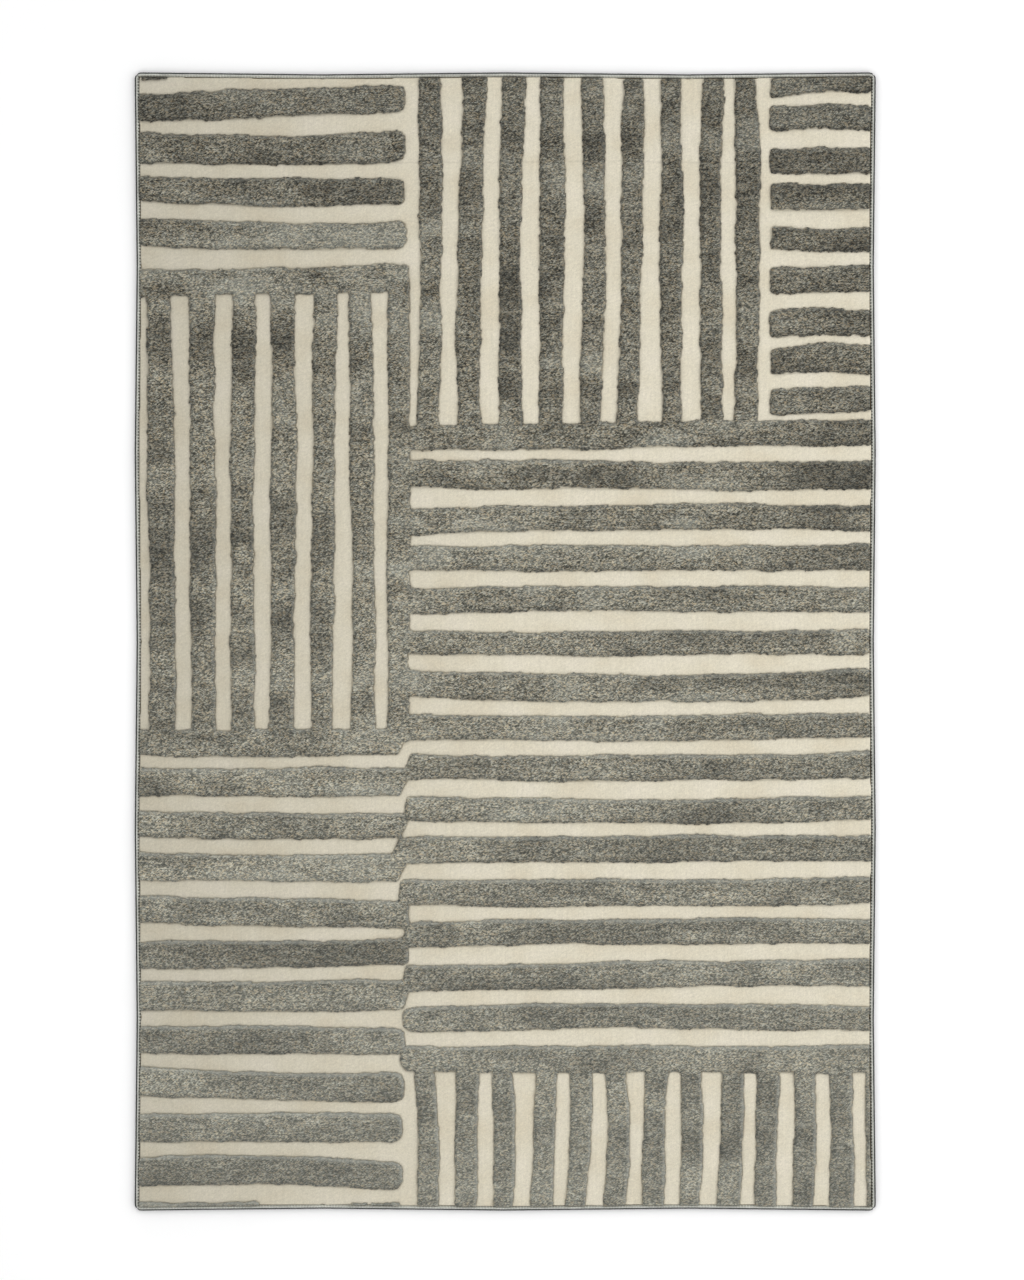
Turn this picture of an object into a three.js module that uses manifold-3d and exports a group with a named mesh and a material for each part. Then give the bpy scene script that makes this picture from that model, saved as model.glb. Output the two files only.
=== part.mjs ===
import * as THREE from 'three';
import { mergeVertices } from 'three/addons/utils/BufferGeometryUtils.js';
import Module from 'manifold-3d';

// Area rug: a latex-coated woven backing, a low cream pile, raised dark stripes of pile
// that stand in pockets of the cream, and a serged edge in four runs.
// Millimetres. X runs across the rug, Y along it to its head, Z up from the floor.
// The origin is on the floor, under the middle of the rug.

// Overall size
const RUG_WIDTH = 1524;
const RUG_LENGTH = 2340;
const CORNER_RADIUS = 13;
const EDGE_WAVE = 4; // how far the cut edge wanders inwards between its widest points
const WAVES_ACROSS = 2;
const WAVES_ALONG = 3;
const STEPS_PER_WAVE = 4;
const CORNER_STEPS = 4;

// Layers, from the floor up
const GAP = 0.3; // clearance that separate pieces keep between them
const LATEX_THICKNESS = 1.2;
const BACKING_LOW = LATEX_THICKNESS + GAP;
const BACKING_HIGH = BACKING_LOW + 1.5;
const GROUND_LOW = BACKING_HIGH + GAP; // the pile yarn that runs in the ground of the weave
const GROUND_HIGH = GROUND_LOW + 1.2;
const CREAM_HIGH = 8.5;
const DARK_LOW = GROUND_HIGH + GAP;
const DARK_HIGH = 12;
const OVER_THE_TOP = 20; // a cutting height above everything

// Serged edge: a roll of wound yarn that grips the rim of the backing
const ROLL_WIDTH = 10;
const ROLL_HEIGHT = 9;
const ROLL_ROUND = 3;
const GRIP_DEPTH = 6;
const PILE_INSET = ROLL_WIDTH + GAP;
const GRIP_INSET = ROLL_WIDTH - GRIP_DEPTH;

// The hand-drawn wander of a stripe's edges
const WANDER = 2.4;
const WANDER_LONG = 86;
const WANDER_SHORT = 37;
const STRIPE_STEP = 90;
const ROUND_STEPS = 3;

// Lines that the blocks of the pattern share
const PAST_LEFT = -RUG_WIDTH / 2;
const PAST_RIGHT = RUG_WIDTH / 2;
const PAST_HEAD = RUG_LENGTH / 2;
const PAST_FOOT = -RUG_LENGTH / 2;
const COLUMN_RIGHT = -197; // right side of the left comb's last upright
const LEFT_STRIPES_END = -206;
const CORNER_BLOCK_START = 546;

const wasm = await Module();
wasm.setup();

function toSolid(geometry) {
  geometry.deleteAttribute('normal');
  geometry.deleteAttribute('uv');
  const merged = mergeVertices(geometry, 1e-4);
  const vertProperties = new Float32Array(merged.attributes.position.array);
  const triVerts = new Uint32Array(merged.index.array);
  return new wasm.Manifold(new wasm.Mesh({ numProp: 3, vertProperties, triVerts }));
}

function toGeometry(solid) {
  const mesh = solid.getMesh();
  const geometry = new THREE.BufferGeometry();
  geometry.setAttribute('position', new THREE.BufferAttribute(new Float32Array(mesh.vertProperties), 3));
  geometry.setIndex(new THREE.BufferAttribute(new Uint32Array(mesh.triVerts), 1));
  geometry.computeVertexNormals();
  return geometry;
}

function joined(solids) {
  return solids.reduce((all, solid) => all.add(solid));
}

// A flat plate with the outline `points`, between two heights.
function plate(points, low, high) {
  const geometry = new THREE.ExtrudeGeometry(new THREE.Shape(points), {
    depth: high - low,
    bevelEnabled: false,
  });
  geometry.translate(0, 0, low);
  return toSolid(geometry);
}

// The rug's cut outline, moved inwards by `inset`, anticlockwise from the foot's left end.
// Each side swings in and out a little and is widest at its corners; the corners are arcs.
function rugOutline(inset) {
  const sides = [
    { corner: [1, -1], along: [1, 0], waves: WAVES_ACROSS },
    { corner: [1, 1], along: [0, 1], waves: WAVES_ALONG },
    { corner: [-1, 1], along: [-1, 0], waves: WAVES_ACROSS },
    { corner: [-1, -1], along: [0, -1], waves: WAVES_ALONG },
  ];
  const halfWidth = RUG_WIDTH / 2 - CORNER_RADIUS;
  const halfLength = RUG_LENGTH / 2 - CORNER_RADIUS;
  const radius = CORNER_RADIUS - inset;
  const points = [];
  sides.forEach(({ corner, along, waves }, side) => {
    const outward = new THREE.Vector2(along[1], -along[0]);
    const end = new THREE.Vector2(corner[0] * halfWidth, corner[1] * halfLength);
    const reach = 2 * Math.abs(end.x * along[0] + end.y * along[1]);
    const steps = waves * STEPS_PER_WAVE;
    for (let i = 0; i <= steps; i += 1) {
      const t = i / steps;
      const swing = EDGE_WAVE * Math.sin(Math.PI * waves * t) ** 2;
      points.push(new THREE.Vector2(...along)
        .multiplyScalar(reach * (t - 1))
        .addScaledVector(outward, radius - swing)
        .add(end));
    }
    for (let i = 1; i < CORNER_STEPS; i += 1) {
      const angle = (side - 1 + i / CORNER_STEPS) * Math.PI / 2;
      points.push(new THREE.Vector2(end.x + radius * Math.cos(angle), end.y + radius * Math.sin(angle)));
    }
  });
  return points;
}

// How far one edge of a stripe has wandered at `s` along it.
function wander(number, edge, s) {
  const phase = 2.4 * number + 1.7 * edge;
  const slow = Math.sin(s / WANDER_LONG + phase);
  const quick = Math.sin(s / WANDER_SHORT + 2.1 * phase);
  return WANDER * (0.65 * slow + 0.35 * quick);
}

// A stripe's outline, with its long edges wandering and either end square (round 0) or rounded.
// `tilt` is how far it climbs from end to end, and `bow` how far its middle lies above its ends.
// `slantFrom` and `slantTo` cut a rounded end aslant, with its high corner that much further along.
// `grow` widens it all round for the pocket that it stands in.
function stripeOutline(stripe, grow) {
  const { from, to, centre, width, number, tilt = 0, bow = 0 } = stripe;
  const { upright = false, roundFrom = 0, roundTo = 0, slantFrom = 0, slantTo = 0 } = stripe;
  const steps = Math.max(2, Math.round((to - from) / STRIPE_STEP));
  const middle = (s) => {
    const t = (s - from) / (to - from) - 0.5;
    return centre + tilt * t + bow * (1 / 3 - 4 * t * t);
  };
  const low = (s) => middle(s) - width / 2 + wander(number, 0, s);
  const high = (s) => middle(s) + width / 2 + wander(number, 1, s);
  const stations = [];
  for (let i = 0; i <= steps; i += 1) {
    stations.push(THREE.MathUtils.lerp(from + roundFrom, to - roundTo, i / steps));
  }
  const points = [];
  const quarter = (s, c, radius, startAngle) => {
    for (let i = 0; i <= ROUND_STEPS; i += 1) {
      const angle = startAngle + (i / ROUND_STEPS) * Math.PI / 2;
      points.push([s + (radius + grow) * Math.cos(angle), c + (radius + grow) * Math.sin(angle)]);
    }
  };
  const first = stations[0];
  const last = stations[steps];
  stations.slice(1, -1).forEach((s) => points.push([s, low(s) - grow]));
  if (roundTo > 0) {
    quarter(last - slantTo / 2, low(last) + roundTo, roundTo, -Math.PI / 2);
    quarter(last + slantTo / 2, high(last) - roundTo, roundTo, 0);
  } else {
    points.push([last + grow, low(last) - grow], [last + grow, high(last) + grow]);
  }
  stations.slice(1, -1).reverse().forEach((s) => points.push([s, high(s) + grow]));
  if (roundFrom > 0) {
    quarter(first + slantFrom / 2, high(first) - roundFrom, roundFrom, Math.PI / 2);
    quarter(first - slantFrom / 2, low(first) + roundFrom, roundFrom, Math.PI);
  } else {
    points.push([first - grow, high(first) + grow], [first - grow, low(first) - grow]);
  }
  // Turning an upright stripe swaps its axes, so its points are taken in reverse to stay anticlockwise.
  const placed = points.map(([s, c]) => (upright ? new THREE.Vector2(c, s) : new THREE.Vector2(s, c)));
  return upright ? placed.reverse() : placed;
}

// Stripes at an even pitch. `drifts` shifts single stripes off the pitch, and `tilts`, `bows` and
// `widens` bend or widen them, as in a drawing by hand.
function row({ name, count, first, pitch, width, numberFrom, drifts, tilts, bows, widens, ...ends }) {
  return Array.from({ length: count }, (_, i) => ({
    ...ends,
    name: `${name}_${i + 1}`,
    centre: first + pitch * i + drifts[i],
    width: width + widens[i],
    tilt: tilts[i],
    bow: bows[i],
    number: numberFrom + i,
  }));
}

// Left comb: a band across its head, a band with a slanted end across its foot, and seven uprights
// between them.
const LEFT_COMB = [
  { from: PAST_LEFT, to: COLUMN_RIGHT, centre: 742, width: 52, tilt: 14, number: 1, roundTo: 8 },
  { from: PAST_LEFT, to: -208, centre: -207, width: 52, bow: -4, number: 2, roundTo: 4, slantTo: 22 },
  ...row({
    name: 'upright', count: 7, first: -705, pitch: 81.2, width: 45, numberFrom: 3,
    drifts: [-1, 3, 4, 5, 7, 6, 0], tilts: [-9, -3, 1, 3, 8, -8, 3],
    bows: [2, -1, -2, 4, -2, 4, 0], widens: [6, 3, 0, 3, -2, -1, -2],
    from: -206, to: 742, upright: true,
  }),
];

// Bottom right comb: a band across its head with twelve uprights down to the foot, and the rug's
// right edge cuts through a thirteenth.
const FOOT_COMB = [
  { from: -214, to: PAST_RIGHT, centre: -857, width: 52, number: 12, roundFrom: 20 },
  ...row({
    name: 'upright', count: 13, first: -159, pitch: 77.3, width: 43, numberFrom: 13,
    drifts: [-1, 3, 2, 7, 4, 3, 2, 1, 5, 1, 1, 0, -4],
    tilts: [-8, 6, -5, 12, 13, 1, 11, 1, 10, 11, 2, 0, 0],
    bows: [4, 0, 5, -1, 8, 9, -2, 6, 3, -1, 5, 3, 0],
    widens: [-2, 2, -3, 1, -1, -1, 2, -2, 2, 0, -2, 3, 0],
    from: PAST_FOOT, to: -860, upright: true,
  }),
];

// The first right stripes start inside the left comb's last upright. These are the starts of the
// ones below it.
const STRIPES_BESIDE_COMB = 8;
const LOWER_STARTS = [
  { from: -200, slantFrom: 12, roundFrom: 5 },
  { from: -203, slantFrom: 4, roundFrom: 7 },
  { from: -227, slantFrom: 16, roundFrom: 3 },
  { from: -215, slantFrom: 2, roundFrom: 8 },
  { from: -208, slantFrom: 6, roundFrom: 9 },
  { from: -207, slantFrom: 6, roundFrom: 12 },
  { from: -209, slantFrom: 0, roundFrom: 18 },
];

const RIGHT_STRIPES = row({
  name: 'dark_pile_right', count: 15, first: 426, pitch: -85.4, width: 49, numberFrom: 30,
  drifts: [-1, 2, -1, 3, 3, -1, -5, -4, 0, -3, 3, -1, 3, 0, -1],
  tilts: [14, -4, 9, 2, 1, 4, 0, 5, 4, 0, 5, 4, 7, 14, 2],
  bows: [0, -3, 6, -1, 4, -2, -12, -5, -5, -7, 0, -3, 3, 1, 7],
  widens: [1, 6, 1, 0, 0, -2, 5, 0, 1, -2, 2, 3, 0, 2, 0],
  from: COLUMN_RIGHT - 20, to: PAST_RIGHT,
}).map((stripe, i) => ({ ...stripe, ...LOWER_STARTS[i - STRIPES_BESIDE_COMB] }));

const TOP_MIDDLE_STRIPES = row({
  name: 'dark_pile_top_middle', count: 9, first: -154, pitch: 81.4, width: 43, numberFrom: 50,
  drifts: [0, 2, 3, 6, 10, 6, 7, 8, 0], tilts: [4, 13, 6, 3, 5, 14, -1, 1, 0],
  bows: [6, -6, -6, 2, 7, 6, 0, -6, 8], widens: [0, 3, 0, 3, 0, -2, -1, -2, 2],
  from: 430, to: PAST_HEAD, upright: true,
});

const TOP_LEFT_STRIPES = row({
  name: 'dark_pile_top_left', count: 4, first: 1108, pitch: -90.5, width: 54, numberFrom: 60,
  drifts: [-2, -5, -2, -1], tilts: [19, 5, -6, -6], bows: [-1, -7, -4, -8], widens: [1, 4, -2, -1],
  from: PAST_LEFT, to: LEFT_STRIPES_END, roundTo: 15,
});

const TOP_RIGHT_STRIPES = row({
  name: 'dark_pile_top_right', count: 9, first: 1161, pitch: -83.2, width: 51, numberFrom: 70,
  drifts: [-6, 0, -6, 1, -2, 0, -5, 4, 0], tilts: [8, 3, 0, 0, -4, 3, 3, 3, 5],
  bows: [9, 6, 0, -2, -5, 0, 5, 9, -2], widens: [0, -2, -1, 1, -4, -1, 2, 4, -2],
  from: CORNER_BLOCK_START, to: PAST_RIGHT, roundFrom: 6,
});

// How the bottom left stripes end: the upper ones against the right stripes, the rest free
const BOTTOM_LEFT_ENDS = [
  { to: -204, slantTo: 22, roundTo: 4 },
  { to: -203, slantTo: 14, roundTo: 6 },
  { to: -208, slantTo: 22, roundTo: 5 },
  { to: -198, slantTo: 0, roundTo: 7 },
  { to: -199, slantTo: 3, roundTo: 9 },
  { to: -203, slantTo: 8, roundTo: 10 },
  { to: -207, roundTo: 18 },
  { to: -209, roundTo: 18 },
  { to: -211, roundTo: 18 },
  { to: -211, roundTo: 18 },
];

const BOTTOM_LEFT_STRIPES = row({
  name: 'dark_pile_bottom_left', count: 10, first: -287, pitch: -88.7, width: 53, numberFrom: 80,
  drifts: [-1, -2, 1, -2, 1, 3, 1, -3, -1, -2], tilts: [0, -4, -2, -13, 8, 4, -4, -12, -1, -10],
  bows: [3, -5, -1, 0, -5, 0, 0, -5, 4, 7], widens: [2, -3, -1, 1, 0, 6, 1, 2, 3, 4],
  from: PAST_LEFT,
}).map((stripe, i) => ({ ...stripe, ...BOTTOM_LEFT_ENDS[i] }));

// Slivers of stripes that the rug's head and foot cut off
const SLIVERS = [
  { name: 'dark_sliver_head', to: -690, centre: 1169, width: 32, number: 90, roundTo: 4 },
  { name: 'dark_sliver_foot_left', to: -505, centre: -1168, width: 34, number: 91, roundTo: 6 },
  { name: 'dark_sliver_foot_middle', from: -350, to: -214, centre: -1168, width: 30, number: 92, roundTo: 6 },
].map((sliver) => ({ from: PAST_LEFT, ...sliver }));

// One dark piece for each entry, as the stripes that it is drawn from. Earlier pieces keep their
// full outline, and a later one stops short of them.
const DARK_PIECES = [
  { name: 'dark_pile_left_comb', stripes: LEFT_COMB },
  ...RIGHT_STRIPES.map((stripe) => ({ name: stripe.name, stripes: [stripe] })),
  { name: 'dark_pile_foot_comb', stripes: FOOT_COMB },
  ...[TOP_MIDDLE_STRIPES, TOP_LEFT_STRIPES, TOP_RIGHT_STRIPES, BOTTOM_LEFT_STRIPES, SLIVERS]
    .flat()
    .map((stripe) => ({ name: stripe.name, stripes: [stripe] })),
];

const MATERIALS = {
  latex: new THREE.MeshStandardMaterial({ color: 0xb9ad95, roughness: 0.9, metalness: 0 }),
  backing: new THREE.MeshStandardMaterial({ color: 0xa8966f, roughness: 0.95, metalness: 0 }),
  cream: new THREE.MeshStandardMaterial({ color: 0xd9d3bf, roughness: 0.9, metalness: 0 }),
  dark: new THREE.MeshStandardMaterial({ color: 0x7a786c, roughness: 0.95, metalness: 0 }),
  edge: new THREE.MeshStandardMaterial({ color: 0x8d8e88, roughness: 0.85, metalness: 0 }),
};

const rug = new THREE.Group();

function addPiece(name, solid, material) {
  const mesh = new THREE.Mesh(toGeometry(solid), material.clone());
  mesh.name = name;
  rug.add(mesh);
}

// A flat layer that reaches out to `inset` from the rug's cut edge.
function layer(inset, low, high) {
  return plate(rugOutline(inset), low, high);
}

function darkPrism(stripes, grow, low) {
  return joined(stripes.map((stripe) => plate(stripeOutline(stripe, grow), low, OVER_THE_TOP)));
}

function addPile() {
  const darkField = layer(PILE_INSET, DARK_LOW, DARK_HIGH);
  let taken = null;
  DARK_PIECES.forEach(({ name, stripes }) => {
    let solid = darkPrism(stripes, 0, DARK_LOW).intersect(darkField);
    if (taken !== null) solid = solid.subtract(taken);
    addPiece(name, solid, MATERIALS.dark);
    const pocket = darkPrism(stripes, GAP, GROUND_HIGH);
    taken = taken === null ? pocket : taken.add(pocket);
  });
  addPiece('cream_pile', layer(PILE_INSET, GROUND_LOW, CREAM_HIGH).subtract(taken), MATERIALS.cream);
}

// The roll's section as [inset from the cut edge, height], anticlockwise seen along the run.
// It is rounded outside, flat on the floor, and open inside where it grips the backing's rim.
function rollSection() {
  const points = [];
  const rounded = (inset, height, startAngle) => {
    for (let i = 0; i <= 2; i += 1) {
      const angle = startAngle - i * Math.PI / 4;
      points.push([inset - ROLL_ROUND * Math.cos(angle), height + ROLL_ROUND * Math.sin(angle)]);
    }
  };
  points.push([ROLL_WIDTH, 0], [ROLL_WIDTH, BACKING_LOW - GAP]);
  points.push([GRIP_INSET - GAP, BACKING_LOW - GAP], [GRIP_INSET - GAP, BACKING_HIGH + GAP]);
  points.push([ROLL_WIDTH, BACKING_HIGH + GAP]);
  rounded(ROLL_WIDTH - ROLL_ROUND, ROLL_HEIGHT - ROLL_ROUND, Math.PI);
  rounded(ROLL_ROUND, ROLL_HEIGHT - ROLL_ROUND, Math.PI / 2);
  points.push([0, ROLL_ROUND / 2], [ROLL_ROUND / 2, 0]);
  return points;
}

// A closed solid from rings of points that follow each other.
function sweep(rings, section) {
  const count = section.length;
  const positions = rings.flat().flatMap((point) => point.toArray());
  const index = [];
  for (let ring = 0; ring + 1 < rings.length; ring += 1) {
    for (let k = 0; k < count; k += 1) {
      const a = ring * count + k;
      const b = ring * count + (k + 1) % count;
      index.push(a, b, b + count, a, b + count, a + count);
    }
  }
  const flat = section.map(([inset, height]) => new THREE.Vector2(inset, height));
  const end = (rings.length - 1) * count;
  THREE.ShapeUtils.triangulateShape(flat, []).forEach(([a, b, c]) => {
    index.push(a, c, b, end + a, end + b, end + c);
  });
  const geometry = new THREE.BufferGeometry();
  geometry.setAttribute('position', new THREE.Float32BufferAttribute(positions, 3));
  geometry.setIndex(index);
  return toSolid(geometry);
}

// A thin upright slot across each corner, where one run of the edge stops short of the next.
function cornerSlots() {
  const length = 4 * CORNER_RADIUS;
  return joined([[1, 1], [1, -1], [-1, 1], [-1, -1]].map(([x, y]) => {
    const slot = new THREE.BoxGeometry(length, GAP, OVER_THE_TOP);
    slot.rotateZ(x * y * Math.PI / 4);
    slot.translate(x * (RUG_WIDTH / 2 - CORNER_RADIUS), y * (RUG_LENGTH / 2 - CORNER_RADIUS), 0);
    return toSolid(slot);
  }));
}

function addEdges() {
  const section = rollSection();
  const loops = section.map(([inset]) => rugOutline(inset));
  const total = loops[0].length;
  const slots = cornerSlots();
  const middle = CORNER_STEPS / 2; // the corner's arc is shared half and half
  const across = WAVES_ACROSS * STEPS_PER_WAVE + CORNER_STEPS;
  const along = WAVES_ALONG * STEPS_PER_WAVE + CORNER_STEPS;
  const runs = [
    { name: 'edge_foot', start: 0, steps: across },
    { name: 'edge_right', start: across, steps: along },
    { name: 'edge_head', start: across + along, steps: across },
    { name: 'edge_left', start: 2 * across + along, steps: along },
  ];
  runs.forEach(({ name, start, steps }) => {
    const rings = Array.from({ length: steps + 1 }, (_, i) => {
      const at = (start + i - middle + total) % total;
      return section.map(([, height], k) => new THREE.Vector3(loops[k][at].x, loops[k][at].y, height));
    });
    addPiece(name, sweep(rings, section).subtract(slots), MATERIALS.edge);
  });
}

addPiece('latex_coat', layer(PILE_INSET, 0, LATEX_THICKNESS), MATERIALS.latex);
addPiece('woven_backing', layer(GRIP_INSET, BACKING_LOW, BACKING_HIGH), MATERIALS.backing);
addPile();
addEdges();

export default rug;
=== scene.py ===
"""Area rug seen from above: a low cream pile, raised heather stripes and a serged edge.

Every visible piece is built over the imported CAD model. The stripes' outlines are read from the
CAD nodes, laid on a grid of tufts, and given ragged edges, rounded shoulders and a lean.
"""

import math

import bmesh
import bpy
import numpy as np
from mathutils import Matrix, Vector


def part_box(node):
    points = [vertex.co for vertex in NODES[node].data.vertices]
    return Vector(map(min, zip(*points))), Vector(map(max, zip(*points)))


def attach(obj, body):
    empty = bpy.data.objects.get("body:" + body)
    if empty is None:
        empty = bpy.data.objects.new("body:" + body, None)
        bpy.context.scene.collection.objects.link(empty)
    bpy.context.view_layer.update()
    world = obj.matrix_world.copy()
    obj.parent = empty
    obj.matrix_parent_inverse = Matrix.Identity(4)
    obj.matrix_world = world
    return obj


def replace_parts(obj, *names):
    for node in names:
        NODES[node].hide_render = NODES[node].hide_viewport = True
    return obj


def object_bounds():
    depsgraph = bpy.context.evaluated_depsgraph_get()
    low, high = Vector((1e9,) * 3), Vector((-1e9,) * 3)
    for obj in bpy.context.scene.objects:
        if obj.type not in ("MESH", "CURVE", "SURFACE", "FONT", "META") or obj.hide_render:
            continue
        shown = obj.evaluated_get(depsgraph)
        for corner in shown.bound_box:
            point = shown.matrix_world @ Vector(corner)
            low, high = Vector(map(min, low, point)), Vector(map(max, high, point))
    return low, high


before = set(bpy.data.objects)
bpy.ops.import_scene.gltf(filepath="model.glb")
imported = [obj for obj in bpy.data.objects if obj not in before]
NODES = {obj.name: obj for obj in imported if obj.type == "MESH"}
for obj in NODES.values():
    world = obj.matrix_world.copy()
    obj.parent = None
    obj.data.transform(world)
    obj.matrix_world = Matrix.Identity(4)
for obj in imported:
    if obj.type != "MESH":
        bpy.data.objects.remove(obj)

cad_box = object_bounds()
MM = 0.001
LEVEL_WITHIN = 0.01 * MM  # how far a CAD face's corners may lie off the height that is asked for

# Pile
TUFT = 3.0 * MM  # pitch of the tufts, which is also the pitch of the pile meshes
FINE = TUFT / 2  # pitch of the grid that the pattern is read on
MARGIN_CELLS = 4  # empty tufts round the rug
WOBBLE = 0.12 * TUFT  # how far the tufts' corners lie off their grid
MOST_PULL = 0.6 * TUFT  # the farthest that a corner moves to lie on an outline

# The stripes' edges
EDGE_BLUR = 2.0 * MM  # blur of the outlines that the shoulders follow
SIDE_BLUR = 3.4 * MM  # how far the painted shade and painted highlight of a stripe's edges reach
EDGE_LIGHT = (0.75, 0.95)  # edges that face right and the head get a painted highlight, and the others painted shade
RAGGED = (0.12, 0.26)  # how far an edge strays at the foot and the head, as a share of the blurred edge
RAGGED_SIZE = 4 * MM
JOG = (0.2, 0.34)  # the same for the steps of a tuft or so in an edge
JOG_SIZE = 44 * MM
MOST_STRAY = 0.45
LABEL_GROWTH = 4  # how many fine cells a ragged edge may lie outside its outline
DARK_SHOULDER = 1.2 * MM
CREAM_SHOULDER = 0.6 * MM
RIM_SHOULDER = 0.8 * MM
SHOULDER_SHARES = (0.5, 0.97)  # the blurred share of a pile at its outline, and past its shoulder

# The tips: how far they lie under the pile's full height, and how far they stray from there
DARK_SINK = 0.3 * MM
DARK_BRUSHED = 0.2 * MM
DARK_CLUMPS = 0.2 * MM
DARK_TUFTS = 0.26 * MM
CREAM_SINK = 0.1 * MM
CREAM_WAVES = 0.14 * MM
CREAM_CLUMPS = 0.05 * MM
CREAM_TUFTS = 0.05 * MM
CLUMP_SIZE = (9 * MM, 9 * MM)
WAVE_SIZE = (38 * MM, 26 * MM)

# The lean: how far the tips lie from the roots, how much of that a tuft has, and where walls bend
DARK_LEAN = (-0.9 * MM, -1.4 * MM)
CREAM_LEAN = (-0.1 * MM, -0.3 * MM)
LEAST_LIE = 0.75
MOST_LIE = 1.25
WALL_RISE = 0.6
WALL_LEAN = 0.35

# The fold line that shipping left across the rug, as a share of its length from the foot
CREASE_AT = 0.921
CREASE_DEPTH = 0.8 * MM
CREASE_WIDTH = 2.2 * MM
CREASE_BEND = 1.5 * MM
CREASE_BEND_SIZE = (240 * MM, 900 * MM)
CREASE_SHADE = 0.8  # how much painted shade it puts on the cream pile, in the measure of a stripe's shaded side

# How strongly the painted sheen of the brushed dark pile varies its brightness from patch to patch
HEAD_MARKS = 0.31
FOOT_MARKS = 0.19
MARKS_RISE = (-0.5, 0.7)  # where along the rug they grow from the foot's to the head's
MOST_MARK = 2.2
LOOSE_MARKS = 0.7  # the share of the brightness's variation that is left to chance
# Its features' lengths and breadths, and how strong each size of them is
LOOSE_SIZES = [(240 * MM, 46 * MM, 1.0), (64 * MM, 34 * MM, 0.9), (26 * MM, 13 * MM, 0.55)]

# The dark pile's tone at the rug's middle, and its change a metre to the right and to the head, as painted
# sheen of the pile's lie
TONE = 0.707
TONE_TO_RIGHT = -0.06
TONE_TO_HEAD = -0.215

# Patches of brushed pile, whose painted sheen makes them paler or darker: the middle's x and y, half the
# length, half the breadth in mm, and how much paler
BRUSHED = [
    (-720, 1100, 80, 70, -1.4), (-320, 830, 150, 40, 1.8), (-650, 750, 130, 50, 1.3),
    (-300, 670, 220, 32, 1.1), (20, 680, 45, 90, -2.0), (-610, 620, 170, 36, -1.2),
    (-300, 520, 140, 34, 0.9), (680, 300, 90, 170, -1.4), (-560, 220, 200, 40, -1.9),
    (0, 190, 200, 50, 1.2), (-700, 60, 80, 140, -1.5), (-250, 0, 70, 220, 0.9),
    (60, -180, 280, 36, 1.7), (40, -340, 200, 36, 1.5), (300, -430, 110, 40, -1.5),
    (-380, -470, 230, 40, 1.6), (-420, -640, 170, 44, -2.1), (60, -640, 130, 70, -1.3),
    (-540, -820, 80, 40, -1.4), (500, -1020, 280, 40, -1.0), (-500, -1120, 260, 50, -1.6),
]

# Where along the rug the dark pile's look changes from the foot's to the head's
NEAR_HEAD = (-1.1, 0.6)

# Painted shade: the cream pile's colour dims from the rug's middle out to this x, as less light falls to
# the left, and this brightness is left there
CREAM_SHADE_TO = -0.76
CREAM_LIT_AT_LEFT = 0.77

# The cream pile's joins run in the middles of bands and uprights, this far inside the combs' boxes
BAND_MIDDLE = 24 * MM
LAST_UPRIGHT_MIDDLE = 20 * MM
FOOT_BAND_MIDDLE = 20 * MM
FOOT_UPRIGHT_MIDDLE = 60 * MM
# One join crosses the rug in these two stripes, which meet
LOWER_LEFT, LOWER_RIGHT = "dark_pile_bottom_left_3", "dark_pile_right_11"

# The backing and the latex coat
LAYER_CELL = 24 * MM
RIM_POINTS = 2000  # points that a layer's outline is read at
RIPPLE = 0.1 * MM
RIPPLE_SIZE = (41 * MM, 67 * MM)  # the length of a wave over 2 pi, across the rug and along it
RIPPLE_SWAY = 1.3  # the angle by which the waves sway on their way along the rug

# Serged edge
WRAP_PITCH = 3.2 * MM
STEPS_PER_WRAP = 4
WRAP_DEPTH = 0.45 * MM
WRAP_POWER = 0.7  # under 1, so that wraps are broad and the gaps between them narrow
WRAP_SLANT = 0.5  # how much of a wrap the yarn moves along on its way round the roll
SLACK = 0.35  # how much the depth between wraps varies
SLACK_STEPS = 8  # steps from one chance value of it to the next
END_DIP = 0.35  # how much thinner a run is at its ends
END_REACH = 1.6 * MM
ROLL_RADIUS = 4.5 * MM  # half the roll's height, which the depth between wraps is a share of
ROLL_SPACE = 0.3 * MM  # between the roll and the pile, and between its grip and the backing's rim
GRIP_SPACE = 0.2 * MM  # over and under the backing
ROLL_START = 0.16 * math.pi  # the angle above the backing at which the roll's section starts
ROLL_STEPS = 15
# Powers under 1, which square the roll's section off towards the pile and towards the outside
INNER_BULGE = 0.5
OUTER_BULGE = 0.8
CORNER_REACH = 3 * MM  # how far from a corner the roll's path starts to round it
# The runs in the order they are made, and how dark the stitches' inner dashes are on each
STITCH_SHADE = {"edge_foot": 0.2, "edge_right": 0.9, "edge_head": 0.2, "edge_left": 0.9}
STITCH_ENDS = (0.0, 0.8)  # where a dash starts and is full, on a wave that rises on every other wrap

# Camera: the picture is this much taller than the rug, and its middle is this far from the rug's
PICTURE_OVER_RUG = 1.1228
LENS = 85
SENSOR = 36
CAMERA_OFFSET = (0.0139, 0.0031)
CAMERA_SIGHT = 200  # how far the camera sees, which is past the floor's far edge

# Light from the studio's walls and ceiling, with heights as the sine of the angle above the floor
WALL_TOP, CEILING_FROM = 0.55, 0.85
WALL_LIGHT, CEILING_LIGHT = 1.74, 0.16

# The lamps' places, sizes and powers
LAMPS = {
    "key": ((0.6, 0.0, 2.6), (1.2, 3.6), 14),
    "side": ((2.8, 0.2, 1.3), (0.8, 0.8), 10),
}
FLOOR_SIZE = 60

RNG = np.random.default_rng(109)
DARK_NODES = sorted(n for n in NODES if n.startswith("dark_"))
RUG_LOW, RUG_HIGH = cad_box
CREAM_LOW, CREAM_HIGH = (corner.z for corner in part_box("cream_pile"))
DARK_LOW, DARK_HIGH = (corner.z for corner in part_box("dark_pile_left_comb"))


# ---------------------------------------------------------------- the grid of tufts

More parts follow.
